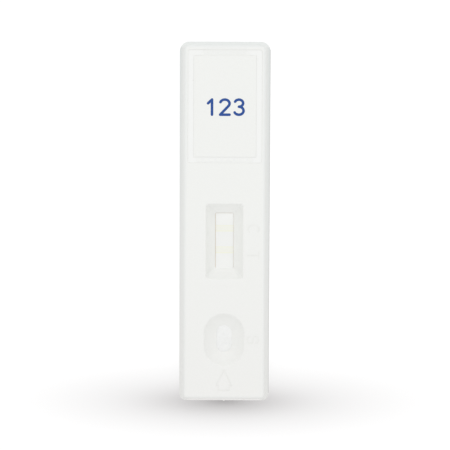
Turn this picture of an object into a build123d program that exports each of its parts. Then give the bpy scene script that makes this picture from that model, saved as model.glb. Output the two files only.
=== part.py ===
from build123d import *
import os
from math import cos, hypot, radians

# Lateral flow cassette, in millimetres. It lies on its back: +Z is the printed face, +Y the label end,
# and the origin is the middle of the footprint. Places along the cassette are counted from its sample end.

# Closed cassette
length = 80.0
width = 20.0
height = 5.0
corner_r = 2.1
sample_corner_r = 1.5
parting_z = 3.0
side_lean = 1.2
end_lean = 0.87
face_corner_r = 1.2
sample_face_corner_r = 0.85
inner_corner_r = 0.3
top_round_r = 0.7
base_round_r = 0.5
side_step = 0.05
parting_bevel = 0.12

# Moulded walls
side_wall = 1.2
face_t = 1.2
floor_t = 1.0
funnel_wall = 0.7

# Tongue on the lower shell and the rebate that takes it
tongue_t = 0.5
tongue_h = 0.5
tongue_clear = 0.05

# Test strip: a card with a membrane and three pads, each lapped over the next
strip_from_end = 5.0
strip_length = 60.0
strip_width = 4.0
card_t = 0.25
membrane_from_end = 24.5
membrane_length = 25.0
membrane_t = 0.2
conjugate_length = 7.0
conjugate_lap = 2.5
conjugate_t = 0.35
sample_lap = 2.0
sample_t = 0.8
absorbent_lap = 2.0
absorbent_t = 1.0
lap_ramp = 0.6

# Bed for the strip
support_h = 0.5
support_t = 0.8
support_pitch = 6.0
rail_t = 0.7
rail_clear = 0.1
rail_lead_in = 0.2
rail_gap = 0.05
end_stop_t = 0.8

# Read window
window_from_end = 35.88
window_open_length = 12.55
window_side_gap = 0.05
window_slope = 2.07
window_gap = 0.03
window_corner_r = 0.55
window_open_r = 0.35
lip_land = 0.1
dish_sag = 0.28
rim_round_r = 0.4

# Sample well
well_from_end = 13.93
well_open_width = 3.45
well_straight = 2.6
well_slope = 2.82

# Label panel: an island with a shallow moat around it
panel_from_end = 53.4
panel_end_margin = 1.8
panel_side_margin = 1.87
panel_corner_r = 0.5
panel_drop = 0.03
moat_width = 1.22
moat_depth = 0.155
moat_draft = 30.0
moat_raised_h = 0.07
tab_inner_half = 5.5
tab_outer_half = 4.35
block_width = 0.85
block_length = 0.75
block_pitch = 1.4
block_count = 9

# Engraved marks
mark_depth = 0.08
mark_stroke = 0.26
mark_height = 2.67
mark_width = 1.8
mark_from_side = 3.59
control_mark_from_end = 38.83
test_mark_from_end = 32.87
bow_open_angle = 46.0
curl_round_r = 0.58
stroke_tail = 0.05
arrow_line = 0.2
arrow_tip_from_end = 7.15
arrow_shoulder_from_end = 3.67
arrow_foot_from_end = 2.6
arrow_shoulder_half = 1.73
arrow_stem_half = 1.2

# Pegs under the face and the sockets that hold them
peg_r = 0.8
peg_clear = 0.02
peg_tip_gap = 0.2
peg_tip_bevel = 0.25
socket_r = 1.4
collar_gap = 0.05
peg_from_side = 3.1
peg_from_ends = 4.5
peg_before_window_from_end = 24.5
peg_beyond_window_from_end = 52.0

# Bars under the face that press the laps of the strip together
bar_width = 3.4
bar_t = 0.8
first_wick_bar = 0.35
second_wick_bar = 0.75

# Mark left by the moulding gate on the upper shell
gate_width = 0.45
gate_height = 0.25
gate_proud = 0.06
gate_above_parting = 0.12

# How far a cutting shape runs past the surface that it opens
cut_past = 1.0

# Places that follow from the sizes above
sample_end = -length / 2
label_end = length / 2
inside_top = height - face_t
card_base = floor_t + support_h
card_top = card_base + card_t
membrane_top = card_top + membrane_t
window_lip_z = membrane_top + window_gap
well_lip_z = card_top + sample_t
rail_top = window_lip_z - rail_gap
strip_start = sample_end + strip_from_end
strip_end = strip_start + strip_length
membrane_start = sample_end + membrane_from_end
membrane_end = membrane_start + membrane_length
conjugate_start = membrane_start + conjugate_lap - conjugate_length
conjugate_end = membrane_start + conjugate_lap
sample_pad_end = conjugate_start + sample_lap
absorbent_start = membrane_end - absorbent_lap
window_y = sample_end + window_from_end
well_y = sample_end + well_from_end
mark_x = width / 2 - mark_from_side


def rounded_plan(x_size, y_size, label_r, sample_r, z):
    """Outline at height z, with one corner radius at the label end and another at the sample end."""
    outline = Rectangle(x_size, y_size)
    outline = fillet(outline.vertices().group_by(Axis.Y)[-1], max(label_r, inner_corner_r))
    outline = fillet(outline.vertices().group_by(Axis.Y)[0], max(sample_r, inner_corner_r))
    return Pos(0, 0, z) * outline


def plan(inset, z):
    """Outline of the cassette drawn in by inset, lying at height z."""
    x_size = width - 2 * inset
    y_size = length - 2 * inset
    return rounded_plan(x_size, y_size, corner_r - inset, sample_corner_r - inset, z)


def leaning_plan(inset, z):
    """Outline of the upper shell at height z, drawn in by inset, where its walls lean in to the face."""
    lowest = parting_z + parting_bevel
    rise = (z - lowest) / (height - lowest)
    x_size = width - 2 * (inset + rise * side_lean)
    y_size = length - 2 * (inset + rise * end_lean)
    label_r = corner_r - rise * (corner_r - face_corner_r) - inset
    sample_r = sample_corner_r - rise * (sample_corner_r - sample_face_corner_r) - inset
    return rounded_plan(x_size, y_size, label_r, sample_r, z)


def block(x_size, y_size, low_z, high_z, x=0.0, y=0.0):
    """Upright block between two heights, centred on x and y."""
    return Pos(x, y, (low_z + high_z) / 2) * Box(x_size, y_size, high_z - low_z)


def post(radius, low_z, high_z, x, y):
    """Upright round post between two heights."""
    return Pos(x, y, (low_z + high_z) / 2) * Cylinder(radius, high_z - low_z)


def funnel_side(half_open, half_rim, low_z):
    """Dished side of a funnel, steep at the rim and flatter at the opening."""
    run = half_rim - half_open
    rise = height - low_z
    chord = hypot(run, rise)
    middle_x = (half_open + half_rim) / 2 + dish_sag * rise / chord
    middle_z = (low_z + height) / 2 - dish_sag * run / chord
    return ThreePointArc((half_open, low_z), (middle_x, middle_z), (half_rim, height))


def half_funnel(half_open, half_rim, low_z, high_z):
    """Right-hand half of a funnel's section, from its middle line outwards."""
    side = funnel_side(half_open, half_rim, low_z)
    outline = [
        Line((0, low_z), (half_open, low_z)),
        side,
        Line((0, high_z), (0, low_z)),
    ]
    if high_z > height:
        outline.append(Line((half_rim, height), (half_rim, high_z)))
    outline.append(Line((half_rim, high_z), (0, high_z)))
    return make_face(outline)


def funnel_section(half_open, half_rim, low_z, high_z):
    """Whole section of a funnel, both sides of its middle line."""
    half = half_funnel(half_open, half_rim, low_z, high_z)
    return half + mirror(half, about=Plane.YZ)


def window_funnel(grow, low_z, high_z):
    """Frame-shaped dish of the read window with mitred corners, larger by grow all round."""
    half_open_x = strip_width / 2 + window_side_gap + grow
    half_open_y = window_open_length / 2 + grow
    across = funnel_section(half_open_x, half_open_x + window_slope, low_z, high_z)
    along = funnel_section(half_open_y, half_open_y + window_slope, low_z, high_z)
    run = window_open_length + 2 * window_slope
    sides = extrude(Plane.XZ * across, amount=run, both=True)
    ends = extrude(Plane.YZ * along, amount=run, both=True)
    return Pos(0, window_y, 0) * (sides & ends)


def window_dish():
    """Hollow of the read window above its straight opening, with rounded corners."""
    dish = window_funnel(0, window_lip_z + lip_land, height + cut_past)
    corners = dish.edges().filter_by(lambda edge: edge.bounding_box().size.Z > cut_past / 2)
    return fillet(corners, window_corner_r)


def window_opening():
    """Straight opening at the foot of the read window."""
    open_x = strip_width + 2 * window_side_gap
    low_z = window_lip_z - cut_past
    outline = Pos(0, window_y, low_z) * RectangleRounded(open_x, window_open_length, window_open_r)
    return extrude(outline, amount=height - low_z)


def well_funnel(grow, low_z, high_z):
    """Oval dish of the sample well: two half-round ends joined by a straight stretch."""
    half_open = well_open_width / 2 + grow
    half_rim = half_open + well_slope
    middle = extrude(
        Plane.XZ * funnel_section(half_open, half_rim, low_z, high_z),
        amount=well_straight / 2,
        both=True,
    )
    round_end = revolve(Plane.XZ * half_funnel(half_open, half_rim, low_z, high_z), axis=Axis.Z)
    far_end = Pos(0, well_straight / 2, 0) * round_end
    near_end = Pos(0, -well_straight / 2, 0) * round_end
    return Pos(0, well_y, 0) * (middle + far_end + near_end)


def well_opening():
    """Straight opening at the foot of the sample well."""
    low_z = well_lip_z - cut_past
    outline = SlotOverall(well_straight + well_open_width, well_open_width, rotation=90)
    return extrude(Pos(0, well_y, low_z) * outline, amount=height - low_z)


def panel_moat():
    """Shallow moat around the label panel, with a raised tab and a row of small blocks left in it.

    The panel itself is left a hair below the face, which keeps its print from being rubbed.
    """
    low_y = sample_end + panel_from_end
    high_y = label_end - panel_end_margin
    outer_width = width - 2 * panel_side_margin
    outer_length = high_y - low_y
    middle_y = (low_y + high_y) / 2
    floor_z = height - moat_depth
    outer = RectangleRounded(outer_width, outer_length, panel_corner_r)
    island_width = outer_width - 2 * moat_width
    island_length = outer_length - 2 * moat_width
    island = RectangleRounded(island_width, island_length, panel_corner_r / 2)
    moat_bottom = Pos(0, middle_y, floor_z)
    cut = extrude(moat_bottom * outer, amount=moat_depth + cut_past, taper=-moat_draft)
    keep = extrude(moat_bottom * island, amount=moat_depth - panel_drop, taper=moat_draft)
    tab_low = high_y - moat_width
    tab = Polygon(
        (-tab_inner_half, tab_low - moat_width / 2),
        (tab_inner_half, tab_low - moat_width / 2),
        (tab_inner_half, tab_low),
        (tab_outer_half, high_y),
        (tab_outer_half, high_y + moat_width / 2),
        (-tab_outer_half, high_y + moat_width / 2),
        (-tab_outer_half, high_y),
        (-tab_inner_half, tab_low),
        align=None,
    )
    cut -= keep
    cut -= extrude(Pos(0, 0, floor_z) * tab, amount=moat_raised_h)
    first_x = -block_pitch * (block_count - 1) / 2
    block_y = low_y + moat_width / 2
    for number in range(block_count):
        block_x = first_x + number * block_pitch
        cut -= block(block_width, block_length, floor_z, floor_z + moat_raised_h, block_x, block_y)
    return cut


def arrow_groove():
    """Outline of an arrow that points from the sample end to the well."""
    tip = sample_end + arrow_tip_from_end
    shoulder = sample_end + arrow_shoulder_from_end
    foot = sample_end + arrow_foot_from_end
    shape = Polygon(
        (0, tip),
        (arrow_shoulder_half, shoulder),
        (arrow_stem_half, shoulder),
        (arrow_stem_half, foot),
        (-arrow_stem_half, foot),
        (-arrow_stem_half, shoulder),
        (-arrow_shoulder_half, shoulder),
        align=None,
    )
    outer = offset(shape, amount=arrow_line / 2, kind=Kind.INTERSECTION)
    inner = offset(shape, amount=-arrow_line / 2, kind=Kind.INTERSECTION)
    return outer - inner


def bar_letter():
    """Mark of a crossbar over a stem."""
    bar = Pos(0, (mark_height - mark_stroke) / 2) * Rectangle(mark_width, mark_stroke)
    return bar + Rectangle(mark_stroke, mark_height)


def open_letter():
    """Mark of a round bow that is open on its right."""
    run = mark_width - mark_stroke
    half_tall = (mark_height - mark_stroke) / 2
    half_deep = run / (1 + cos(radians(bow_open_angle)))
    middle = (half_deep - run / 2, 0)
    turn = 360 - 2 * bow_open_angle
    path = EllipticalCenterArc(middle, half_deep, half_tall, bow_open_angle, arc_size=turn)
    return trace(path, line_width=mark_stroke)


def double_curl_letter():
    """Mark of two bows that turn opposite ways."""
    side = (mark_width - mark_stroke) / 2
    top = (mark_height - mark_stroke) / 2
    curl_end = top - curl_round_r - stroke_tail
    path = FilletPolyline(
        (side, curl_end),
        (side, top),
        (-side, top),
        (-side, 0),
        (side, 0),
        (side, -top),
        (-side, -top),
        (-side, -curl_end),
        radius=curl_round_r,
    )
    return trace(path, line_width=mark_stroke)


def engraved_marks():
    """Arrow and the three position marks, which read from the label end down the side."""
    turned = Rot(0, 0, -90)
    marks = [
        arrow_groove(),
        Pos(mark_x, sample_end + control_mark_from_end) * turned * open_letter(),
        Pos(mark_x, sample_end + test_mark_from_end) * turned * bar_letter(),
        Pos(mark_x, well_y) * turned * double_curl_letter(),
    ]
    floor = Pos(0, 0, height - mark_depth)
    return [extrude(floor * mark, amount=mark_depth + cut_past, dir=(0, 0, 1)) for mark in marks]


def peg_places():
    """Centres of the pegs, in pairs along both sides."""
    rows = (
        sample_end + peg_from_ends,
        sample_end + peg_before_window_from_end,
        sample_end + peg_beyond_window_from_end,
        label_end - peg_from_ends,
    )
    peg_x = width / 2 - peg_from_side
    return [(side * peg_x, y) for y in rows for side in (-1, 1)]


def peg(x, y):
    """Peg under the face: a collar that stops above the socket, and a pin that goes down into it."""
    collar = post(socket_r, parting_z + collar_gap, inside_top, x, y)
    pin = post(peg_r, floor_t + peg_tip_gap, inside_top, x, y)
    pin = chamfer(pin.faces().sort_by(Axis.Z)[0].edges(), peg_tip_bevel)
    return collar + pin


def socket(x, y):
    """Post on the floor with a blind hole for one peg."""
    hole = post(peg_r + peg_clear, floor_t, parting_z + cut_past, x, y)
    return post(socket_r, floor_t, parting_z, x, y) - hole


def pressure_bars():
    """Bars that hang from the face down to the strip, one on each lap and two on the wick."""
    wick_run = strip_end - membrane_end
    contacts = (
        (sample_pad_end - bar_t, card_top + conjugate_t + sample_t),
        (conjugate_end - bar_t, membrane_top + conjugate_t),
        (absorbent_start + bar_t, membrane_top + absorbent_t),
        (membrane_end + first_wick_bar * wick_run, card_top + absorbent_t),
        (membrane_end + second_wick_bar * wick_run, card_top + absorbent_t),
    )
    return [block(bar_width, bar_t, pad_top, inside_top, y=y) for y, pad_top in contacts]


def gate_mark():
    """Small proud mark of the moulding gate, on the end wall at the sample end."""
    low_z = parting_z + gate_above_parting
    depth = gate_proud + side_wall / 2
    middle_y = sample_end - gate_proud + depth / 2
    return block(gate_width, depth, low_z, low_z + gate_height, y=middle_y)


def upper_shell():
    """Top half of the case: face, window, well, label panel, marks, pegs and pressure bars."""
    parting = leaning_plan(parting_bevel, parting_z)
    widest = leaning_plan(0, parting_z + parting_bevel)
    shell = loft([parting, widest, leaning_plan(0, height)], ruled=True)
    shell = fillet(shell.faces().sort_by(Axis.Z)[-1].edges(), top_round_r)
    low_z = parting_z - cut_past
    shell -= loft([leaning_plan(side_wall, parting_z), leaning_plan(side_wall, inside_top)], ruled=True)
    rebate_inset = side_wall - tongue_t - tongue_clear
    rebate_top = parting_z + tongue_h + tongue_clear
    shell -= extrude(plan(rebate_inset, low_z), amount=rebate_top - low_z)
    shell += window_funnel(funnel_wall, window_lip_z, height)
    shell += well_funnel(funnel_wall, well_lip_z, height)
    shell -= window_dish()
    shell -= well_funnel(0, well_lip_z + lip_land, height + cut_past)
    rims = [edge for rim in shell.faces().sort_by(Axis.Z)[-1].inner_wires() for edge in rim.edges()]
    shell = fillet(rims, rim_round_r)
    shell -= window_opening()
    shell -= well_opening()
    shell -= panel_moat()
    for groove in engraved_marks():
        shell -= groove
    for x, y in peg_places():
        shell += peg(x, y)
    for bar in pressure_bars():
        shell += bar
    return shell + gate_mark()


def strip_bed():
    """Rails, end stops and cross supports that locate the strip on the floor."""
    inner_x = strip_width / 2 + rail_clear
    outer_x = inner_x + rail_t
    rail_face = make_face(
        Polyline(
            (inner_x, floor_t),
            (inner_x, rail_top - rail_lead_in),
            (inner_x + rail_lead_in, rail_top),
            (outer_x, rail_top),
            (outer_x, floor_t),
            close=True,
        )
    )
    low_y = strip_start - rail_clear - end_stop_t
    high_y = strip_end + rail_clear + end_stop_t
    middle_y = (low_y + high_y) / 2
    rail = Pos(0, middle_y, 0) * extrude(Plane.XZ * rail_face, amount=(high_y - low_y) / 2, both=True)
    pieces = [rail, mirror(rail, about=Plane.YZ)]
    for y in (low_y + end_stop_t / 2, high_y - end_stop_t / 2):
        pieces.append(block(2 * inner_x, end_stop_t, floor_t, card_top, y=y))
    count = round(strip_length / support_pitch)
    step = (strip_length - support_t) / count
    for number in range(count + 1):
        y = strip_start + support_t / 2 + number * step
        pieces.append(block(2 * inner_x, support_t, floor_t, card_base, y=y))
    return pieces


def lower_shell():
    """Bottom half of the case: tray with a tongue round its rim, sockets and the bed for the strip."""
    shell = extrude(plan(side_step, 0), amount=parting_z)
    shell = fillet(shell.faces().sort_by(Axis.Z)[0].edges(), base_round_r)
    shell = chamfer(shell.faces().sort_by(Axis.Z)[-1].edges(), parting_bevel)
    tongue_inset = side_wall - tongue_t
    tongue_top = parting_z + tongue_h
    shell += extrude(plan(tongue_inset, floor_t), amount=tongue_top - floor_t)
    shell -= extrude(plan(side_wall, floor_t), amount=tongue_top - floor_t + cut_past)
    for x, y in peg_places():
        shell += socket(x, y)
    for piece in strip_bed():
        shell += piece
    return shell


def lapped_pad(flat_end, lap_end, step_y, base_z, step_h, thickness):
    """Pad that lies flat from flat_end, climbs at step_y and laps over its neighbour to lap_end."""
    side = 1 if lap_end > flat_end else -1
    ramp_y = step_y - side * lap_ramp
    outline = Polyline(
        (flat_end, base_z),
        (step_y, base_z),
        (step_y, base_z + step_h),
        (lap_end, base_z + step_h),
        (lap_end, base_z + step_h + thickness),
        (step_y, base_z + step_h + thickness),
        (ramp_y, base_z + thickness),
        (flat_end, base_z + thickness),
        close=True,
    )
    return extrude(Plane.YZ * make_face(outline), amount=strip_width / 2, both=True)


def backing_card():
    """Plastic card under the whole strip."""
    return block(strip_width, strip_length, card_base, card_top, y=(strip_start + strip_end) / 2)


def membrane():
    """Reading membrane, seen through the window."""
    middle_y = (membrane_start + membrane_end) / 2
    return block(strip_width, membrane_length, card_top, membrane_top, y=middle_y)


def conjugate_pad():
    """Reagent pad between the sample pad and the membrane."""
    return lapped_pad(conjugate_start, conjugate_end, membrane_start, card_top, membrane_t, conjugate_t)


def sample_pad():
    """Fibre pad under the sample well."""
    return lapped_pad(strip_start, sample_pad_end, conjugate_start, card_top, conjugate_t, sample_t)


def absorbent_pad():
    """Wick at the far end of the strip."""
    return lapped_pad(strip_end, absorbent_start, membrane_end, card_top, membrane_t, absorbent_t)


makers = (
    upper_shell,
    lower_shell,
    backing_card,
    membrane,
    conjugate_pad,
    sample_pad,
    absorbent_pad,
)
os.makedirs("parts", exist_ok=True)
for make in makers:
    export_step(make(), f"parts/{make.__name__}.step")
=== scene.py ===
"""Looks of the lateral flow cassette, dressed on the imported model. Lengths are in metres."""
import math
import random

import bmesh
import bpy
from mathutils import Matrix, Vector, noise


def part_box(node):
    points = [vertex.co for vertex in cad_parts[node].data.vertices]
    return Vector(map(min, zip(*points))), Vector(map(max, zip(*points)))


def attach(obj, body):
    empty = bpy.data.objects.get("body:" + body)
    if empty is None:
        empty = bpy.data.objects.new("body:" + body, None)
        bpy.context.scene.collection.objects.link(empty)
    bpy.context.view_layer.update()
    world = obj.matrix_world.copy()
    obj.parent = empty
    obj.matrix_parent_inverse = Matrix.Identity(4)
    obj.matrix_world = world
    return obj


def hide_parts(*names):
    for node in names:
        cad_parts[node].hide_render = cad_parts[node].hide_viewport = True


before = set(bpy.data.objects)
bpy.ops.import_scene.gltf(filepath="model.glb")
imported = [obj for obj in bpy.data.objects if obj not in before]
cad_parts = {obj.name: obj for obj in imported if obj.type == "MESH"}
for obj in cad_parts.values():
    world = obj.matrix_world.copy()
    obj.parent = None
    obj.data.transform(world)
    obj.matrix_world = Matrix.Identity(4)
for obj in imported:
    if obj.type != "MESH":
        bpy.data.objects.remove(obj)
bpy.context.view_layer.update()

MM = 0.001

# The case, read from the frame. Places along it are counted from its sample end.
case_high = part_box("upper_shell")[1]
half_width = case_high.x
label_end = case_high.y
sample_end = -label_end
face_z = case_high.z
membrane_low, membrane_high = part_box("membrane")
strip_half = membrane_high.x

# Label panel and the moat round it
panel_drop = 0.03 * MM
moat_half_width = half_width - 1.87 * MM
moat_low_y = sample_end + 53.4 * MM
moat_high_y = label_end - 1.8 * MM
moat_width = 1.22 * MM
moat_depth = 0.155 * MM

# Tab in the moat: half its width, and the fade of its ends
tab_half = 4.9 * MM
tab_fade = 0.4 * MM

# Middle and half length of the moat, and half the width and the length of the island inside it
moat_y = (moat_low_y + moat_high_y) / 2
moat_half_length = (moat_high_y - moat_low_y) / 2
island_half_width = moat_half_width - moat_width
island_half_length = moat_half_length - moat_width

# Side walls: widest level, and how far their painted shade reaches up and down from it
widest_z = 3.12 * MM
wall_fade = 1.6 * MM

# Walls: how far in from the sides and the label end their painted shade begins, and where it is full; the
# same for the painted light at the sample end
wall_start = 1.3 * MM
wall_full = 0.9 * MM
sample_wall_start = 0.68 * MM
sample_wall_full = 0.42 * MM

# How far from the ends the painted shade of the sides stops and over what length it fades there, and how
# far in from the sides the painted light of the sample end begins and is full
side_gap = 0.6 * MM
side_fade = 1.2 * MM
end_start = 1.2 * MM
end_full = 2.4 * MM

# Painted shadow line along the seam on the right: how far it reaches up and down, how far in from the side
# it begins and is full, how far from the ends it stops and its fade there
seam_fade = 0.25 * MM
seam_start = 0.5 * MM
seam_full = 0.3 * MM
seam_end_gap = 1.6 * MM
seam_end_fade = 0.3 * MM

# The gate mark has its full painted shade this far beyond the sample end
gate_from = 0.01 * MM

# Tones of single places on the shell are full above this level, and fade out below it
toned_above_z = 1.8 * MM
toned_fade = 0.5 * MM

# Width of the fade at the borders of the moat, the tab's length and the letters
border = 0.05 * MM

# Soft painted shade line where the rounded edge meets the face: how far in from the sides and the ends,
# its spread, and how strong it is at the sample end
face_margin_x = 1.3 * MM
face_margin_y = 0.97 * MM
margin_spread = 0.22 * MM
margin_at_sample_end = 0.35

# Painted shade lines at the moat's steps: half width and fade; and how far below the face all such lines
# begin and are full
step_half = 0.25 * MM
step_fade = 0.2 * MM
lines_start = 0.5 * MM
lines_full = 0.3 * MM

# Slopes: how far below the face their painted light is full, and the fade where an end slope meets a side
# slope
dish_full = 0.3 * MM
mitre_fade = 0.6 * MM

# Printed digits on the panel; a digit's second stroke lies lower by a share of the ink's thickness
print_middle = Vector((-0.03 * MM, sample_end + 65.65 * MM))
print_length = 8.82 * MM
print_height = 3.9 * MM
print_stroke = 0.58 * MM
digit_pitch = 0.35 * print_length
ink_thickness = 0.012 * MM
ink_sink = 0.004 * MM
stroke_drop = 0.1

# Small dark fleck in the moat
fleck_place = Vector((-7.04 * MM, sample_end + 71.53 * MM, face_z - moat_depth))
fleck_radius = 0.13 * MM
fleck_ragged = 0.08 * MM

# Engraved letters: their depth, how much of their painted shade they take, and the strip of the face that
# they stand in
mark_depth = 0.08 * MM
letter_shade_amount = 0.4
letters_x = half_width - 3.59 * MM
letters_half_x = 1.4 * MM
letters_half_y = 15 * MM

# Sample well
well_y = sample_end + 13.93 * MM
well_half_width = 1.725 * MM
well_half_length = 3.025 * MM
well_slope = 2.82 * MM
sample_pad_thickness = 0.8 * MM

# Strip in the read window: middles and half widths of the two reagent bands, half the width of the
# line along each edge of a band, over which the band fades too, how much of the band's tone it takes,
# how far its edges wander, and how far the strip lies to the right
control_band_y = sample_end + 38.62 * MM
control_band_half = 0.78 * MM
test_band_y = sample_end + 33.79 * MM
test_band_half = 0.82 * MM
band_line_half = 0.16 * MM
band_amount = 0.8
band_wander = 0.1 * MM
strip_shift = 0.022 * MM

# Read window: its middle, half its opening, the width of its slopes, the spread of the painted light at the
# membrane's ends, and how far in from the upper end the painted shadow line there lies
window_y = sample_end + 35.88 * MM
window_half_x = 2.05 * MM
window_half_y = 6.275 * MM
window_slope = 2.1 * MM
lit_end = 1.6 * MM
upper_line_in = 0.12 * MM

# Fibres on the sample pad: how many, seed of their draws, and how much of the well's half width and
# half length they start in
fibre_count = 170
fibre_seed = 11
fibres_across = 0.92
fibres_along = 0.95

# One fibre: shortest and longest, its highest arch, how deep its ends sink in, thinnest and thickest
# radius, the most that it turns in radians, its parts, how thin its tips are, and its gap to the edge
fibre_span = (0.4 * MM, 1.3 * MM)
fibre_lift = 0.035 * MM
fibre_sink = 0.012 * MM
fibre_radius = (0.006 * MM, 0.011 * MM)
fibre_bend = 1.6
fibre_steps = 7
fibre_tip = 0.35
fibre_edge_gap = 0.1 * MM

# Beads of adhesive along the strip: cross sections, how far they reach under the strip, and out from
# it with the swell of that, how far they stand above the membrane's foot with the swell of that, how
# far they go below it, how much lower their outer edge is, the length of a swell and its row in the noise
bead_sections = 160
bead_inset = 0.03 * MM
bead_reach = 0.072 * MM
reach_swell = 0.018 * MM
bead_top = 0.19 * MM
top_swell = 0.005 * MM
bead_foot = 0.2 * MM
bead_fall = 0.01 * MM
swell_length = 0.8 * MM
swell_row = 3.1

# Uneven skin of the strip's pieces: sizes of its coarse and fine dents, the share of the fine ones, and
# how far apart the pieces lie in the noise
coarse_dents = 0.5 * MM
fine_dents = 0.17 * MM
fine_share = 0.6
noise_step = Vector((13.7, 7.1, 0))

# Tones of the shell: the mottle's darker and lighter tone, the same with painted shade towards the sample
# end, then those of single places, most of them painted light or shade
shell_tones = ((0.865, 0.873, 0.849, 1), (0.884, 0.892, 0.871, 1))
sample_end_shaded_tones = ((0.852, 0.852, 0.831, 1), (0.871, 0.871, 0.853, 1))
polished_sheen_tone = (0.897, 0.905, 0.891, 1)
tab_tone = (0.83, 0.84, 0.822, 1)
fleck_tone = (0.33, 0.29, 0.22, 1)
side_shade_sample_end = (0.855, 0.856, 0.832, 1)
side_shade_label_end = (0.765, 0.798, 0.785, 1)
label_wall_shade_tone = (0.87, 0.895, 0.878, 1)
sample_wall_painted_light = (0.98, 0.967, 0.95, 1)
gate_shade_tone = (0.58, 0.58, 0.56, 1)
seam_shadow_tone = (0.5, 0.51, 0.49, 1)
letter_shade_tone = (0.849, 0.853, 0.828, 1)
step_shade_tone = (0.846, 0.852, 0.83, 1)
margin_shade_tone = (0.838, 0.856, 0.841, 1)
end_slope_lit_tone = (0.905, 0.909, 0.893, 1)

# Tones of the membrane: its speckle, the painted light at its ends, the painted shadow line at its upper end
# and painted light at its lower end, and the bands
membrane_tones = ((0.885, 0.891, 0.876, 1), (0.905, 0.911, 0.897, 1))
lit_tone = (0.945, 0.951, 0.936, 1)
lip_shadow_tone = (0.835, 0.815, 0.775, 1)
lower_end_painted_light = (0.975, 0.98, 0.967, 1)
band_tone = (0.9, 0.903, 0.825, 1)
band_line_tone = (0.9, 0.9, 0.74, 1)

# Darker and lighter tone of the pads, the card, the adhesive and the ink
sample_pad_tones = ((0.872, 0.877, 0.87, 1), (0.922, 0.928, 0.922, 1))
conjugate_pad_tones = ((0.7, 0.62, 0.56, 1), (0.82, 0.76, 0.7, 1))
wick_tones = ((0.82, 0.81, 0.77, 1), (0.89, 0.885, 0.85, 1))
card_tones = ((0.82, 0.8, 0.74, 1), (0.87, 0.86, 0.82, 1))
adhesive_tones = ((0.62, 0.49, 0.34, 1), (0.76, 0.65, 0.5, 1))
ink_tones = ((0.015, 0.067, 0.285, 1), (0.031, 0.097, 0.34, 1))

# Cells, specks, streaks or fibres in a metre
shell_cells = 9000.0
tab_specks = 4500.0
membrane_specks = 7000.0
band_wanders = 900.0
card_streaks = 2500.0
adhesive_patches = 1200.0
ink_specks = 6000.0
pad_fibres = 2600.0
wick_fibres = 1800.0

# Shell: its roughness and how much smoother the moat is, how much of the grain the polish takes away,
# and how dark and how high the specks of the tab are
shell_roughness = 0.5
polish = 0.28
grain_lost = 0.9
tab_amount = 0.6
tab_height = 1.2

# Grain: shares of bumps and of pits, cells in a patch of the mottle, how far below the face the grain is
# still full and where it is finest, and the share of it that is left there
bump_share = 0.7
pit_share = 0.3
mottle_cells = 3.5
grain_full = 0.2 * MM
grain_finest = 0.8 * MM
finest_share = 0.55

# Camera of the photograph, aimed at a point on the face
photo_size = 450
sensor_width = 36.0
camera_distance = 400 * MM
camera_tilt = math.radians(5.2)
camera_roll = math.radians(0.24)
pixels_per_metre = 4519.0
aim_point = Vector((0.108 * MM, -0.384 * MM, face_z))

# Light: the room, the lamp, and the grey of the floor as it is seen and as it lights the part
room_at_horizon = 0.885
room_overhead = 0.975
lamp_watts = 0.42
lamp_size = 0.5
lamp_place = (0.0, 0.45, 0.54)
floor_seen = 0.12
floor_bounce = 0.6

# Floor: its glow, half its side, and its white in the painted shadow and in the open
floor_glow = 0.925
floor_half = 1.5
shaded_white = (1, 0.95, 0.95, 1)
plain_white = (1, 1, 1, 1)

# The floor lies a hair above the lowest face, so the underside shows clean from below
floor_level = 0.01 * MM

# Painted shadow on the floor at the sample end, from the widest to the nearest: depth, middle along y,
# spread in x and spread in y
painted_floor_shadows = (
    (0.254, sample_end - 0.87 * MM, 26.2 * MM, 5.03 * MM),
    (0.261, sample_end - 0.8 * MM, 10.3 * MM, 1.94 * MM),
    (0.12, sample_end - 0.66 * MM, 2.9 * MM, 0.73 * MM),
)


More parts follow.
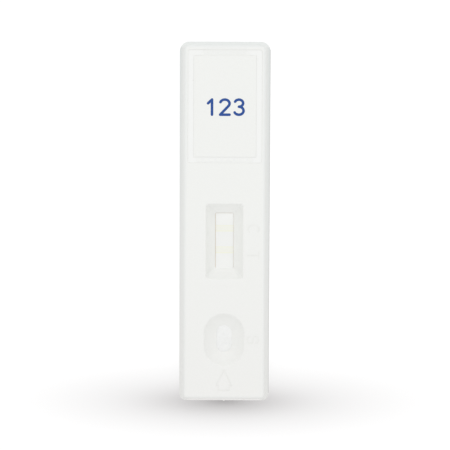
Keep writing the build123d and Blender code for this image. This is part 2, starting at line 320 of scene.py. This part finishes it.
class Wiring:
    """Short ways to add and join the nodes of one tree."""

    def __init__(self, tree):
        self.tree = tree

    def add(self, kind, values=None, **settings):
        """Adds a node, with its settings and what goes into its sockets."""
        node = self.tree.nodes.new(kind)
        for key, value in settings.items():
            setattr(node, key, value)
        for key, value in (values or {}).items():
            self.feed(node.inputs[key], value)
        return node

    def feed(self, socket, value):
        """Joins an output to the socket, or writes a plain value on it."""
        if isinstance(value, bpy.types.NodeSocket):
            self.tree.links.new(value, socket)
        else:
            socket.default_value = value

    def math(self, operation, first, second=0.0, clamp=False):
        node = self.add("ShaderNodeMath", {0: first, 1: second}, operation=operation)
        node.use_clamp = clamp
        return node.outputs[0]

    def product(self, first, *others):
        for other in others:
            first = self.math("MULTIPLY", first, other)
        return first

    def noise(self, place, scale, detail=2.0, roughness=0.5):
        values = {"Vector": place, "Scale": scale, "Detail": detail, "Roughness": roughness}
        return self.add("ShaderNodeTexNoise", values).outputs["Fac"]

    def range(self, value, from_min, from_max, to_min=0.0, to_max=1.0, soft=False):
        kind = "SMOOTHSTEP" if soft else "LINEAR"
        names = ("Value", "From Min", "From Max", "To Min", "To Max")
        values = dict(zip(names, (value, from_min, from_max, to_min, to_max)))
        return self.add("ShaderNodeMapRange", values, interpolation_type=kind).outputs["Result"]

    def mix(self, factor, first, second):
        """Mix of two colours. Inputs 6 and 7 and output 2 are the node's colour sockets."""
        node = self.add("ShaderNodeMix", data_type="RGBA")
        self.feed(node.inputs["Factor"], factor)
        self.feed(node.inputs[6], first)
        self.feed(node.inputs[7], second)
        return node.outputs[2]

    def within(self, value, middle, half, edge):
        """1 where value lies within half of middle, falling to 0 over the last stretch, edge wide."""
        away = self.math("ABSOLUTE", self.math("SUBTRACT", value, middle))
        return self.range(away, half - edge, half, 1.0, 0.0, soft=True)

    def bell(self, value, middle, spread):
        """Bell curve of value about middle."""
        away = self.math("DIVIDE", self.math("SUBTRACT", value, middle), spread)
        return self.math("EXPONENT", self.product(away, away, -0.5))

    def place(self):
        """Place on the surface in the cassette's own frame."""
        return self.add("ShaderNodeTexCoord").outputs["Object"]

    def split(self, vector):
        """The x, y and z of a vector."""
        node = self.add("ShaderNodeSeparateXYZ", {0: vector})
        return node.outputs[0], node.outputs[1], node.outputs[2]


def new_group(name, inputs, outputs):
    """New shader node group with named sockets, each input given as (name, kind, default)."""
    tree = bpy.data.node_groups.new(name, "ShaderNodeTree")
    for label, kind, default in inputs:
        socket = tree.interface.new_socket(name=label, in_out="INPUT", socket_type=kind)
        socket.default_value = default
    for label in outputs:
        tree.interface.new_socket(name=label, in_out="OUTPUT", socket_type="NodeSocketFloat")
    return Wiring(tree), tree.nodes.new("NodeGroupInput"), tree.nodes.new("NodeGroupOutput")


def spark_grain():
    """Fine grain of a spark-eroded mould, and a faint unevenness of its tone."""
    inputs = (("Place", "NodeSocketVector", (0, 0, 0)), ("Cells", "NodeSocketFloat", shell_cells))
    w, given, result = new_group("spark_grain", inputs, ("Height", "Mottle"))
    place = given.outputs["Place"]
    cells = given.outputs["Cells"]
    bumps = w.noise(place, cells, detail=3.0, roughness=0.6)
    pits = w.add("ShaderNodeTexVoronoi", {"Vector": place, "Scale": cells}).outputs["Distance"]
    height = w.math("ADD", w.math("MULTIPLY", bumps, bump_share), w.math("MULTIPLY", pits, pit_share))
    w.feed(result.inputs["Height"], height)
    patches = w.math("DIVIDE", cells, mottle_cells)
    w.feed(result.inputs["Mottle"], w.noise(place, patches, detail=4.0, roughness=0.7))
    return w.tree


def fibre_mat():
    """Tangle of fibres: three layers of long noise, each turned another way."""
    inputs = (("Place", "NodeSocketVector", (0, 0, 0)), ("Fibres", "NodeSocketFloat", pad_fibres))
    w, given, result = new_group("fibre_mat", inputs, ("Height", "Clumps"))
    place = given.outputs["Place"]
    fibres = given.outputs["Fibres"]
    top = None
    for turn, squeeze in ((0.5, 0.12), (2.1, 0.16), (1.3, 0.1)):
        values = {"Vector": place, "Angle": turn}
        turned = w.add("ShaderNodeVectorRotate", values, rotation_type="Z_AXIS").outputs[0]
        drawn_out = w.add("ShaderNodeVectorMath", {0: turned, 1: (1, squeeze, 1)}, operation="MULTIPLY")
        layer = w.noise(drawn_out.outputs[0], fibres)
        top = layer if top is None else w.math("MAXIMUM", top, layer)
    w.feed(result.inputs["Height"], top)
    clumps = w.noise(place, w.math("DIVIDE", fibres, 3.0), detail=3.0, roughness=0.6)
    w.feed(result.inputs["Clumps"], clumps)
    return w.tree


def new_finish(name):
    """New material, the wiring of its nodes and its shader."""
    material = bpy.data.materials.new(name)
    material.use_nodes = True
    return material, Wiring(material.node_tree), material.node_tree.nodes["Principled BSDF"]


def raise_bumps(w, shader, height, distance, strength):
    """Bump from a height on the shader."""
    node = w.add("ShaderNodeBump", {"Height": height, "Distance": distance, "Strength": strength})
    w.feed(shader.inputs["Normal"], node.outputs["Normal"])


def wall_painted_shading(w, colour, x, y, z):
    """Painted shade on the walls and the gate mark, with a painted shadow line along the right seam.

    Side walls painted darker at their widest level, most so towards the label end; sample end wall lighter.
    """
    # Painted shade on the side walls, darkest at their widest level and towards the label end
    low = w.within(z, widest_z, wall_fade, wall_fade)
    out = w.math("ABSOLUTE", x)
    away_from_corners = w.within(y, 0.0, label_end - side_gap, side_fade)
    on_side = w.product(w.range(out, half_width - wall_start, half_width - wall_full), away_from_corners)
    to_label_end = w.range(y, sample_end, label_end)
    side_shade_colour = w.mix(to_label_end, side_shade_sample_end, side_shade_label_end)
    colour = w.mix(w.product(on_side, low), colour, side_shade_colour)
    at_label_end = w.range(y, label_end - wall_start, label_end - wall_full)
    colour = w.mix(at_label_end, colour, label_wall_shade_tone)
    # Painted light on the sample end wall
    at_sample_end = w.range(y, sample_end + sample_wall_start, sample_end + sample_wall_full)
    inside_corners = w.range(out, half_width - end_start, half_width - end_full)
    colour = w.mix(w.product(at_sample_end, inside_corners), colour, sample_wall_painted_light)
    # Painted shade on the gate mark
    on_gate = w.range(y, sample_end, sample_end - gate_from)
    colour = w.mix(on_gate, colour, gate_shade_tone)
    # Painted shadow line along the seam on the right
    seam = w.within(z, widest_z, seam_fade, seam_fade)
    right = w.range(x, half_width - seam_start, half_width - seam_full)
    along = w.within(y, 0.0, label_end - seam_end_gap, seam_end_fade)
    return w.mix(w.product(seam, right, along), colour, seam_shadow_tone)


def letter_painted_shade(w, colour, x, y, z):
    """Painted shade on the floors of the engraved letters, a trace darker."""
    sunk = w.range(z, face_z - 0.4 * mark_depth, face_z - 0.8 * mark_depth)
    across = w.within(x, letters_x, letters_half_x, border)
    along = w.within(y, (well_y + window_y) / 2, letters_half_y, MM)
    return w.mix(w.product(sunk, across, along, letter_shade_amount), colour, letter_shade_tone)


def edge_painted_shade(w, colour, x, y, z):
    """Painted shade: fine darker lines at the moat's steps, and a soft one where the rounded edge meets the
    face.
    """
    on_top = w.range(z, face_z - lines_start, face_z - lines_full)
    out = w.math("ABSOLUTE", x)
    away = w.math("ABSOLUTE", w.math("SUBTRACT", y, moat_y))
    steps = (
        (moat_half_width, moat_half_length, 0.25),
        (island_half_width, island_half_length, 0.5),
    )
    for half_x, half_y, amount in steps:
        past = w.math("MAXIMUM", w.math("SUBTRACT", out, half_x), w.math("SUBTRACT", away, half_y))
        step = w.within(past, 0.0, step_half, step_fade)
        colour = w.mix(w.product(step, on_top, amount), colour, step_shade_tone)
    past_x = w.math("SUBTRACT", out, half_width - face_margin_x)
    past_y = w.math("SUBTRACT", w.math("ABSOLUTE", y), label_end - face_margin_y)
    margin = w.bell(w.math("MAXIMUM", past_x, past_y), 0.0, margin_spread)
    amount = w.range(y, sample_end, label_end, margin_at_sample_end, 1.0)
    return w.mix(w.product(margin, on_top, amount), colour, margin_shade_tone)


def slope_painted_light(w, colour, x, y, z):
    """Painted light on the end slopes of the window and of the well, slightly lighter than their sides."""
    dished = w.range(z, face_z, face_z - dish_full)
    out = w.math("ABSOLUTE", x)
    hollows = (
        (window_y, window_half_x, window_half_y, window_slope, 0.2 * MM, 0.85, 0.5),
        (well_y, well_half_width, well_half_length, well_slope, 2 * MM, 0.35, 0.28),
    )
    for middle, half_x, half_y, slope, fade, upper_amount, lower_amount in hollows:
        along = w.math("SUBTRACT", y, middle)
        past_end = w.math("SUBTRACT", w.math("ABSOLUTE", along), half_y)
        past_side = w.math("SUBTRACT", out, half_x)
        on_end = w.range(w.math("SUBTRACT", past_end, past_side), -mitre_fade, mitre_fade, soft=True)
        near_y = w.range(past_end, slope, slope - fade)
        near_x = w.range(past_side, slope, slope - fade)
        amount = w.range(along, -MM, MM, lower_amount, upper_amount)
        colour = w.mix(w.product(on_end, near_x, near_y, dished, amount), colour, end_slope_lit_tone)
    return colour


def shell_plastic(grain):
    """White moulded plastic with painted light and shade: grained, polished in the moat, rough on the tab."""
    material, w, shader = new_finish("shell_plastic")
    place = w.place()
    x, y, z = w.split(place)
    grained = w.add("ShaderNodeGroup", {"Place": place, "Cells": shell_cells}, node_tree=grain)
    across_moat = w.within(x, 0.0, moat_half_width, border)
    outside = w.product(across_moat, w.within(y, moat_y, moat_half_length, border))
    across_island = w.within(x, 0.0, island_half_width, border)
    island = w.product(across_island, w.within(y, moat_y, island_half_length, border))
    floor = w.range(z, face_z - 0.45 * moat_depth, face_z - 0.9 * moat_depth)
    upper = w.range(z, toned_above_z - toned_fade, toned_above_z)
    polished = w.product(w.math("SUBTRACT", outside, island, clamp=True), floor, upper)
    across_tab = w.within(x, 0.0, tab_half, tab_fade)
    on_tab = w.product(across_tab, w.within(y, moat_high_y, moat_width, border), upper)
    tab_speckle = w.range(w.noise(place, tab_specks, roughness=0.6), 0.35, 0.6)
    tone = w.range(grained.outputs["Mottle"], 0.3, 0.7)
    # Painted shade: the plain tone is darker towards the sample end
    to_sample_end = w.range(y, 0.0, sample_end)
    plain = w.mix(to_sample_end, w.mix(tone, *shell_tones), w.mix(tone, *sample_end_shaded_tones))
    # Painted sheen: the polished moat is painted lighter than the grained face
    colour = w.mix(polished, plain, polished_sheen_tone)
    colour = w.mix(w.product(on_tab, tab_speckle, tab_amount), colour, tab_tone)
    away = w.add("ShaderNodeVectorMath", {0: place, 1: fleck_place}, operation="DISTANCE").outputs["Value"]
    ragged = w.math("ADD", away, w.math("MULTIPLY", w.noise(place, shell_cells), fleck_ragged))
    fleck = w.range(ragged, fleck_radius, 0.5 * fleck_radius)
    colour = w.mix(fleck, colour, fleck_tone)
    for tones in (wall_painted_shading, letter_painted_shade, slope_painted_light, edge_painted_shade):
        colour = tones(w, colour, x, y, z)
    w.feed(shader.inputs["Base Color"], w.mix(upper, plain, colour))
    w.feed(shader.inputs["Roughness"], w.math("SUBTRACT", shell_roughness, w.product(polished, polish)))
    shader.inputs["IOR"].default_value = 1.5
    coarse = w.product(on_tab, tab_speckle, tab_height)
    kept = w.math("SUBTRACT", 1.0, w.product(polished, grain_lost))
    finer = w.range(z, face_z - grain_finest, face_z - grain_full, finest_share, 1.0)
    height = w.math("ADD", w.product(grained.outputs["Height"], kept, finer), coarse)
    raise_bumps(w, shader, height, distance=0.02 * MM, strength=0.3)
    return material


def membrane_paper():
    """Smooth matt membrane with two pale yellow reagent bands, darker along their edges, and painted light
    and shade at its ends.
    """
    material, w, shader = new_finish("membrane_paper")
    place = w.place()
    y = w.split(place)[1]
    speckle = w.noise(place, membrane_specks, detail=3.0, roughness=0.6)
    wander = w.math("MULTIPLY", w.math("SUBTRACT", w.noise(place, band_wanders), 0.5), band_wander)
    along = w.math("ADD", y, wander)
    colour = w.mix(speckle, *membrane_tones)
    # Painted light at both ends of the membrane
    for end_y, amount in ((window_y + window_half_y, 1.0), (window_y - window_half_y, 0.45)):
        colour = w.mix(w.product(w.bell(y, end_y, lit_end), amount), colour, lit_tone)
    # Painted shadow line on the membrane under the lip at the window's upper end
    upper_line_y = window_y + window_half_y - upper_line_in
    upper_line = w.within(y, upper_line_y, half=0.14 * MM, edge=0.06 * MM)
    colour = w.mix(upper_line, colour, lip_shadow_tone)
    # Painted light at the lower end, against the shade next to the lip there
    lower_line = w.within(y, window_y - window_half_y, half=0.2 * MM, edge=0.1 * MM)
    colour = w.mix(lower_line, colour, lower_end_painted_light)
    bands = (
        (control_band_y, control_band_half, 0.35, 0.65),
        (test_band_y, test_band_half, 0.4, 0.7),
    )
    for middle, half, upper_amount, lower_amount in bands:
        wash = w.math("MULTIPLY", w.within(along, middle, half, band_line_half), band_amount)
        colour = w.mix(wash, colour, band_tone)
        upper_y = middle + half - band_line_half
        lower_y = middle - half + band_line_half
        for line_y, amount in ((upper_y, upper_amount), (lower_y, lower_amount)):
            line = w.math("MULTIPLY", w.within(along, line_y, band_line_half, edge=0.1 * MM), amount)
            colour = w.mix(line, colour, band_line_tone)
    w.feed(shader.inputs["Base Color"], colour)
    shader.inputs["Roughness"].default_value = 0.75
    shader.inputs["IOR"].default_value = 1.4
    raise_bumps(w, shader, speckle, distance=0.008 * MM, strength=0.3)
    return material


def fibre_finish(name, mat, tones, fibres, shaded=0.0):
    """Matt fibre pad between two tones, if asked with painted shade from darker to lighter along the sample
    well.
    """
    material, w, shader = new_finish(name)
    place = w.place()
    y = w.split(place)[1]
    tangle = w.add("ShaderNodeGroup", {"Place": place, "Fibres": fibres}, node_tree=mat)
    tone = w.math("ADD", tangle.outputs["Height"], w.math("MULTIPLY", tangle.outputs["Clumps"], 0.3))
    # Painted shade along the sample well, darker towards its sample end
    shade = w.range(y, well_y - well_half_length, well_y + well_half_length, -shaded, shaded)
    tone = w.math("ADD", tone, shade)
    w.feed(shader.inputs["Base Color"], w.mix(w.range(tone, 0.5, 1.0), *tones))
    shader.inputs["Roughness"].default_value = 0.85
    raise_bumps(w, shader, tangle.outputs["Height"], distance=0.04 * MM, strength=0.25)
    return material


def card_plastic():
    """White card with clear adhesive, faintly streaked along its length."""
    material, w, shader = new_finish("card_plastic")
    place = w.place()
    drawn_out = w.add("ShaderNodeVectorMath", {0: place, 1: (1, 0.05, 1)}, operation="MULTIPLY")
    streak = w.noise(drawn_out.outputs[0], card_streaks, detail=3.0)
    w.feed(shader.inputs["Base Color"], w.mix(streak, *card_tones))
    w.feed(shader.inputs["Roughness"], w.range(streak, 0.3, 0.7, to_min=0.25, to_max=0.4))
    return material


def tan_adhesive():
    """Aged adhesive squeezed out along the edges of the strip."""
    material, w, shader = new_finish("tan_adhesive")
    place = w.place()
    patches = w.noise(place, adhesive_patches, detail=3.0, roughness=0.6)
    w.feed(shader.inputs["Base Color"], w.mix(patches, *adhesive_tones))
    w.feed(shader.inputs["Roughness"], w.range(patches, 0.3, 0.7, to_min=0.3, to_max=0.5))
    raise_bumps(w, shader, patches, distance=0.01 * MM, strength=0.4)
    return material


def print_ink():
    """Blue printing ink, slightly thin in places over the grain."""
    material, w, shader = new_finish("print_ink")
    place = w.place()
    thin = w.range(w.noise(place, ink_specks, detail=3.0, roughness=0.6), 0.4, 0.75)
    w.feed(shader.inputs["Base Color"], w.mix(thin, *ink_tones))
    shader.inputs["Roughness"].default_value = 0.45
    shader.inputs["Specular IOR Level"].default_value = 0.3
    raise_bumps(w, shader, thin, distance=0.008 * MM, strength=0.25)
    return material


def add_mesh(name, bm, material):
    """Puts a finished bmesh into the scene as a named object."""
    mesh = bpy.data.meshes.new(name)
    bm.to_mesh(mesh)
    bm.free()
    mesh.materials.append(material)
    made = bpy.data.objects.new(name, mesh)
    bpy.context.scene.collection.objects.link(made)
    return made


def half_round(centre, radius, start, steps=10):
    """Points on a half circle, without its two ends."""
    turns = [start + math.pi * k / steps for k in range(1, steps)]
    return [centre + radius * Vector((math.cos(t), math.sin(t))) for t in turns]


def add_stroke(bm, points, half, low_z, high_z):
    """Flat stroke of ink along the points, with round ends."""
    last = len(points) - 1
    left, right = [], []
    for i, point in enumerate(points):
        ahead = (points[min(i + 1, last)] - points[max(i - 1, 0)]).normalized()
        side = Vector((-ahead.y, ahead.x)) * half
        left.append(point + side)
        right.append(point - side)
    out = points[-1] - points[-2]
    back = points[0] - points[1]
    end_cap = half_round(points[-1], half, math.atan2(out.y, out.x) - math.pi / 2)
    start_cap = half_round(points[0], half, math.atan2(back.y, back.x) - math.pi / 2)
    outline = right + end_cap + left[::-1] + start_cap
    lower = [bm.verts.new((p.x, p.y, low_z)) for p in outline]
    upper = [bm.verts.new((p.x, p.y, high_z)) for p in outline]
    total = len(outline)
    for i in range(total):
        j = (i + 1) % total
        bm.faces.new((lower[i], lower[j], upper[j], upper[i]))
    count = len(points)
    for ring, turn in ((upper, 1), (lower, -1)):
        rights = ring[:count]
        ends = ring[count:count + len(end_cap)]
        lefts = ring[count + len(end_cap):2 * count + len(end_cap)][::-1]
        starts = ring[2 * count + len(end_cap):]
        faces = [(rights[i], rights[i + 1], lefts[i + 1], lefts[i]) for i in range(last)]
        faces += [(rights[-1], *ends, lefts[-1]), (lefts[0], *starts, rights[0])]
        for face in faces:
            bm.faces.new(face[::turn])


def oval_arc(centre, radius_x, radius_y, start, end, steps=24):
    """Points on an oval arc between two angles in degrees."""
    turns = [math.radians(start + (end - start) * k / steps) for k in range(steps + 1)]
    return [centre + Vector((radius_x * math.cos(t), radius_y * math.sin(t))) for t in turns]


def digit_one(half_x, half_y):
    """Centre lines of the digit 1: a short flag and a stem."""
    stem_x = 0.25 * half_x
    top = Vector((stem_x, half_y))
    flag = Vector((-0.6 * half_x, 0.5 * half_y))
    return [[flag, top], [top, Vector((stem_x, -half_y))]]


def digit_two(half_x, half_y):
    """Centre lines of the digit 2: a bow that runs down into a slanting stem, and a foot."""
    bow = 0.52 * half_y
    curve = oval_arc(Vector((0, half_y - bow)), half_x, bow, start=160, end=-35)
    foot = Vector((-half_x, -half_y))
    return [curve + [foot], [foot, Vector((half_x, -half_y))]]


def digit_three(half_x, half_y):
    """Centre lines of the digit 3: two bows, the lower one larger."""
    upper = 0.47 * half_y
    upper_half_x = 0.9 * half_x
    lower = 0.53 * half_y
    return [
        oval_arc(Vector((0, half_y - upper)), upper_half_x, upper, start=155, end=-90),
        oval_arc(Vector((0, -half_y + lower)), half_x, lower, start=90, end=-155),
    ]


def panel_print(ink):
    """Plain digits printed in blue on the label panel."""
    bm = bmesh.new()
    half_x = (print_length - 2 * digit_pitch - print_stroke) / 2
    half_y = (print_height - print_stroke) / 2
    low_z = face_z - panel_drop - ink_sink
    level = face_z - panel_drop + ink_thickness
    digits = (digit_one(half_x, half_y), digit_two(half_x, half_y), digit_three(half_x, half_y))
    for number, strokes in enumerate(digits):
        middle = print_middle + Vector(((number - 1) * digit_pitch, 0))
        for layer, points in enumerate(strokes):
            high_z = level - layer * stroke_drop * ink_thickness
            add_stroke(bm, [middle + p for p in points], print_stroke / 2, low_z, high_z)
    printed = add_mesh("panel_print", bm, ink)
    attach(printed, "root")


def softened(node, material, cell, rounding, depth, seed, shift):
    """Copy of a CAD piece with rounded edges and an uneven skin.

    The skin sinks below the solid's, except in inner corners, which the rounding fills.
    """
    bm = bmesh.new()
    bm.from_mesh(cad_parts[node].data)
    bmesh.ops.remove_doubles(bm, verts=bm.verts, dist=0.001 * MM)
    bmesh.ops.dissolve_limit(bm, angle_limit=math.radians(1), verts=bm.verts, edges=bm.edges)
    bmesh.ops.bevel(bm, geom=bm.edges[:], offset=rounding, segments=3, profile=0.5, affect="EDGES")
    bmesh.ops.triangulate(bm, faces=bm.faces)
    for axis in (0, 1):
        low = min(v.co[axis] for v in bm.verts)
        high = max(v.co[axis] for v in bm.verts)
        count = int((high - low) / cell)
        for k in range(1, count):
            cut = Vector((0, 0, 0))
            cut[axis] = low + (high - low) * k / count
            normal = Vector((0, 0, 0))
            normal[axis] = 1
            everything = bm.verts[:] + bm.edges[:] + bm.faces[:]
            bmesh.ops.bisect_plane(bm, geom=everything, plane_co=cut, plane_no=normal, dist=1e-8)
    bm.normal_update()
    start = noise_step * seed
    normals = [v.normal.copy() for v in bm.verts]
    for v, normal in zip(bm.verts, normals):
        rough = noise.noise(v.co / coarse_dents + start) + fine_share * noise.noise(v.co / fine_dents + start)
        v.co -= normal * depth * min(max(0.5 + 0.5 * rough, 0), 1)
        v.co.x += shift
    made = add_mesh(node + "_soft", bm, material)
    for face in made.data.polygons:
        face.use_smooth = True
    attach(made, "root")
    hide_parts(node)


def add_fibre(bm, points, radius):
    """Thin three-sided thread along the points."""
    sides = 3
    rings = []
    last = len(points) - 1
    for i, point in enumerate(points):
        ahead = (points[min(i + 1, last)] - points[max(i - 1, 0)]).normalized()
        side = ahead.cross(Vector((0, 0, 1))).normalized()
        over = side.cross(ahead)
        slim = radius * (fibre_tip if i in (0, last) else 1.0)
        ring = []
        for k in range(sides):
            turn = 2 * math.pi * k / sides
            ring.append(bm.verts.new(point + slim * (math.cos(turn) * side + math.sin(turn) * over)))
        rings.append(ring)
    for near, far in zip(rings, rings[1:]):
        for k in range(sides):
            j = (k + 1) % sides
            bm.faces.new((near[k], near[j], far[j], far[k]))
    bm.faces.new(rings[0][::-1])
    bm.faces.new(rings[-1])


def well_fibres(material):
    """Stray fibres on the sample pad, where the well shows it."""
    draw = random.Random(fibre_seed)
    bm = bmesh.new()
    top_z = membrane_low.z + sample_pad_thickness
    for _ in range(fibre_count):
        x = draw.uniform(-fibres_across, fibres_across) * well_half_width
        y = well_y + draw.uniform(-fibres_along, fibres_along) * well_half_length
        heading = draw.uniform(0, 2 * math.pi)
        bend = draw.uniform(-fibre_bend, fibre_bend)
        span = draw.uniform(*fibre_span)
        lift = draw.uniform(0.0, fibre_lift)
        points = []
        for k in range(fibre_steps + 1):
            rise = lift * math.sin(math.pi * k / fibre_steps)
            points.append(Vector((x, y, top_z - fibre_sink + rise)))
            heading += bend / fibre_steps
            x += span / fibre_steps * math.cos(heading)
            y += span / fibre_steps * math.sin(heading)
        if max(abs(p.x) for p in points) < strip_half - fibre_edge_gap:
            add_fibre(bm, points, draw.uniform(*fibre_radius))
    made = add_mesh("well_fibres", bm, material)
    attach(made, "root")


def edge_adhesive(material):
    """Uneven beads of adhesive along both edges of the strip, under the membrane."""
    bm = bmesh.new()
    low_y = membrane_low.y
    high_y = membrane_high.y
    foot = membrane_low.z - bead_foot
    for side in (-1, 1):
        inner = side * (strip_half - bead_inset)
        rings = []
        for k in range(bead_sections + 1):
            y = low_y + (high_y - low_y) * k / bead_sections
            swell = noise.noise(Vector((swell_row * side, y / swell_length, 0.0)))
            outer = side * (strip_half + bead_reach + reach_swell * swell)
            top = membrane_low.z + bead_top + top_swell * swell
            section = ((inner, foot), (outer, foot), (outer, top - bead_fall), (inner, top))
            rings.append([bm.verts.new((x, y, z)) for x, z in section])
        corners = len(section)
        for near, far in zip(rings, rings[1:]):
            for k in range(corners):
                j = (k + 1) % corners
                bm.faces.new((near[k], far[k], far[j], near[j]))
        for ring in (rings[0], rings[-1]):
            bm.faces.new(ring)
    bmesh.ops.recalc_face_normals(bm, faces=bm.faces)
    made = add_mesh("edge_adhesive", bm, material)
    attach(made, "root")


def photo_camera():
    """Camera at the photograph's angle and scale."""
    back = Vector((0, math.sin(camera_tilt), math.cos(camera_tilt)))
    leaning = Vector((-math.sin(camera_roll), math.cos(camera_roll), 0))
    right = leaning.cross(back).normalized()
    up = back.cross(right)
    data = bpy.data.cameras.new("photo_camera")
    data.sensor_width = sensor_width
    data.lens = pixels_per_metre * camera_distance / photo_size * sensor_width
    data.clip_start = 10 * MM
    camera = bpy.data.objects.new("photo_camera", data)
    turn = Matrix((right, up, back)).transposed().to_4x4()
    camera.matrix_world = Matrix.Translation(aim_point + back * camera_distance) @ turn
    bpy.context.scene.collection.objects.link(camera)
    bpy.context.scene.camera = camera


def seen_directly(w):
    """1 for rays that show the surroundings themselves, and 0 for those that only light things."""
    rays = w.add("ShaderNodeLightPath")
    seen = w.math("MAXIMUM", rays.outputs["Is Camera Ray"], rays.outputs["Is Glossy Ray"])
    return w.math("MAXIMUM", seen, rays.outputs["Is Transmission Ray"])


def pale_floor():
    """White floor with the cassette's shadow, and a soft wide painted shadow at the sample end."""
    material, w, shader = new_finish("pale_floor")
    x, y = w.split(w.place())[:2]
    seen = seen_directly(w)
    tone = w.range(seen, 0.0, 1.0, floor_bounce, floor_seen)
    grey = w.add("ShaderNodeCombineColor", {0: tone, 1: tone, 2: tone})
    w.feed(shader.inputs["Base Color"], grey.outputs[0])
    shader.inputs["Roughness"].default_value = 0.9
    lit = 1.0
    # Painted shadow cut into the floor's glow at the sample end
    for depth, middle_y, spread_x, spread_y in painted_floor_shadows:
        shade = w.product(w.bell(x, 0.0, spread_x), w.bell(y, middle_y, spread_y), depth)
        lit = w.math("SUBTRACT", lit, shade)
    w.feed(shader.inputs["Emission Strength"], w.product(lit, seen, floor_glow))
    w.feed(shader.inputs["Emission Color"], w.mix(lit, shaded_white, plain_white))
    bm = bmesh.new()
    level = Matrix.Translation((0, 0, floor_level))
    bmesh.ops.create_grid(bm, x_segments=1, y_segments=1, size=floor_half, matrix=level)
    add_mesh("floor", bm, material)


def white_room():
    """White surroundings, a little brighter overhead; seen directly they are plain white."""
    world = bpy.data.worlds.new("white_room")
    world.use_nodes = True
    bpy.context.scene.world = world
    w = Wiring(world.node_tree)
    background = world.node_tree.nodes["Background"]
    background.inputs["Color"].default_value = plain_white
    direction = w.add("ShaderNodeTexCoord").outputs["Generated"]
    up = w.add("ShaderNodeSeparateXYZ", {0: direction}).outputs[2]
    room = w.range(up, 0.0, 1.0, room_at_horizon, room_overhead)
    seen = seen_directly(w)
    lighting = w.math("MULTIPLY", room, w.math("SUBTRACT", 1.0, seen))
    w.feed(background.inputs["Strength"], w.math("ADD", lighting, seen))


def soft_lamp(place, size, watts):
    """Square soft lamp that faces the cassette."""
    data = bpy.data.lights.new("soft_lamp", "AREA")
    data.size = size
    data.energy = watts
    lamp = bpy.data.objects.new("soft_lamp", data)
    at = Vector(place)
    lamp.matrix_world = Matrix.Translation(at) @ at.to_track_quat("Z", "Y").to_matrix().to_4x4()
    bpy.context.scene.collection.objects.link(lamp)


grain = spark_grain()
mat = fibre_mat()
plastic = shell_plastic(grain)
paper = membrane_paper()
sample_fibre = fibre_finish("sample_fibre", mat, sample_pad_tones, pad_fibres, shaded=0.2)
conjugate_fibre = fibre_finish("conjugate_fibre", mat, conjugate_pad_tones, pad_fibres)
wick_paper = fibre_finish("wick_paper", mat, wick_tones, wick_fibres)
card = card_plastic()
rigid = {"upper_shell": plastic, "lower_shell": plastic, "backing_card": card}
for node, finish in rigid.items():
    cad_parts[node].material_slots[0].material = finish

panel_print(print_ink())
# Replaced pieces: slot, finish, cell, rounding, depth of the dents, seed and shift
skins = (
    ("membrane", "membrane_paper", paper, 0.25 * MM, 0.03 * MM, 0.004 * MM, 4, strip_shift),
    ("sample_pad", "sample_fibre", sample_fibre, 0.2 * MM, 0.08 * MM, 0.02 * MM, 1, 0.0),
    ("conjugate_pad", "conjugate_fibre", conjugate_fibre, 0.25 * MM, 0.06 * MM, 0.02 * MM, 2, 0.0),
    ("absorbent_pad", "wick_paper", wick_paper, 0.25 * MM, 0.08 * MM, 0.02 * MM, 3, 0.0),
)
for node, slot, finish, cell, rounding, depth, seed, shift in skins:
    softened(node, finish, cell, rounding, depth, seed, shift)
well_fibres(sample_fibre)
edge_adhesive(tan_adhesive())

photo_camera()
pale_floor()
white_room()
soft_lamp(lamp_place, lamp_size, lamp_watts)
bpy.context.scene.view_settings.view_transform = "Standard"
